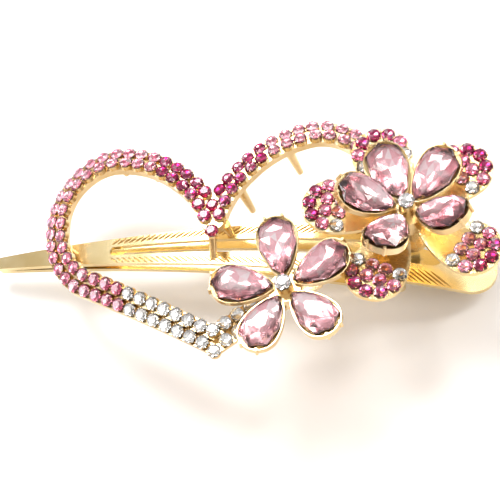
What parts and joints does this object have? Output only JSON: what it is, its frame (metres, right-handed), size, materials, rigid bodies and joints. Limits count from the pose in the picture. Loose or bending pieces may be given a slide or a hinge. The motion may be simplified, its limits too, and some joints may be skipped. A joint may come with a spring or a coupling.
{
  "type": "hair clip",
  "caption": "Beak hair clip in pale gold with a spring-closed lower jaw, an open heart set with round pink stones and two flowers of pear-shaped crystals.",
  "frame": {"origin": "middle of the bounding box in plan, at the lowest point of the closed clip", "axes": "+X along the clip from the pointed tip to the thumb end, +Y across it towards the heart's lobes, +Z away from the hair, towards the stones"},
  "size_m": [0.094, 0.0472, 0.0284],
  "materials": {
    "gold_arm": "polished pale gold plating",
    "gold_setting": "polished pale gold plating, cast",
    "gold_petal": "pale gold plating, cast with a hammered grain",
    "spring_steel": "bright drawn wire",
    "crystal_pink": "faceted, foil backed, glossy",
    "stone_light_rose": "faceted, foil backed, glossy",
    "stone_pale_rose": "faceted, foil backed, glossy",
    "stone_rose": "faceted, foil backed, glossy",
    "stone_fuchsia": "faceted, foil backed, glossy",
    "stone_plum": "faceted, foil backed, glossy",
    "stone_pink": "faceted, foil backed, glossy",
    "stone_clear": "faceted, foil backed, glossy"
  },
  "bodies": {
    "lower_jaw": {"lower_arm": "gold_arm", "hinge_pin": "gold_arm", "torsion_spring": "spring_steel"},
    "upper_jaw": {"big_flower_centre_cup": "gold_setting", "big_flower_centre_stone": "stone_clear", "big_flower_crystal_1": "crystal_pink", "big_flower_crystal_2": "crystal_pink", "big_flower_crystal_3": "crystal_pink", "big_flower_crystal_4": "crystal_pink", "big_flower_crystal_5": "crystal_pink", "big_flower_cup_1": "gold_setting", "big_flower_cup_2": "gold_setting", "big_flower_cup_3": "gold_setting", "big_flower_cup_4": "gold_setting", "big_flower_cup_5": "gold_setting", "big_flower_hub": "gold_setting", "heart_frame": "gold_setting", "heart_stones_clear": "stone_clear", "heart_stones_fuchsia": "stone_fuchsia", "heart_stones_light_rose": "stone_light_rose", "heart_stones_pale_rose": "stone_pale_rose", "heart_stones_rose": "stone_rose", "metal_petal_1": "gold_petal", "metal_petal_2": "gold_petal", "metal_petal_3": "gold_petal", "metal_petal_4": "gold_petal", "metal_petal_5": "gold_petal", "petal_stones_clear": "stone_clear", "petal_stones_pink": "stone_pink", "petal_stones_plum": "stone_plum", "petal_stones_rose": "stone_rose", "small_flower_centre_cup": "gold_setting", "small_flower_centre_stone": "stone_clear", "small_flower_crystal_1": "crystal_pink", "small_flower_crystal_2": "crystal_pink", "small_flower_crystal_3": "crystal_pink", "small_flower_crystal_4": "crystal_pink", "small_flower_crystal_5": "crystal_pink", "small_flower_cup_1": "gold_setting", "small_flower_cup_2": "gold_setting", "small_flower_cup_3": "gold_setting", "small_flower_cup_4": "gold_setting", "small_flower_cup_5": "gold_setting", "small_flower_hub": "gold_setting", "upper_arm": "gold_arm"}
  },
  "joints": [
    {"name": "jaw_hinge", "type": "hinge", "parent": "lower_jaw", "child": "upper_jaw", "pos_m": [0.02651, 0.001, 0.00722], "axis": [0, 1, 0], "range_deg": [0, 20], "stiffness_Nm_per_rad": 0.12, "springref_deg": -40.11, "deforming": ["torsion_spring"]}
  ]
}
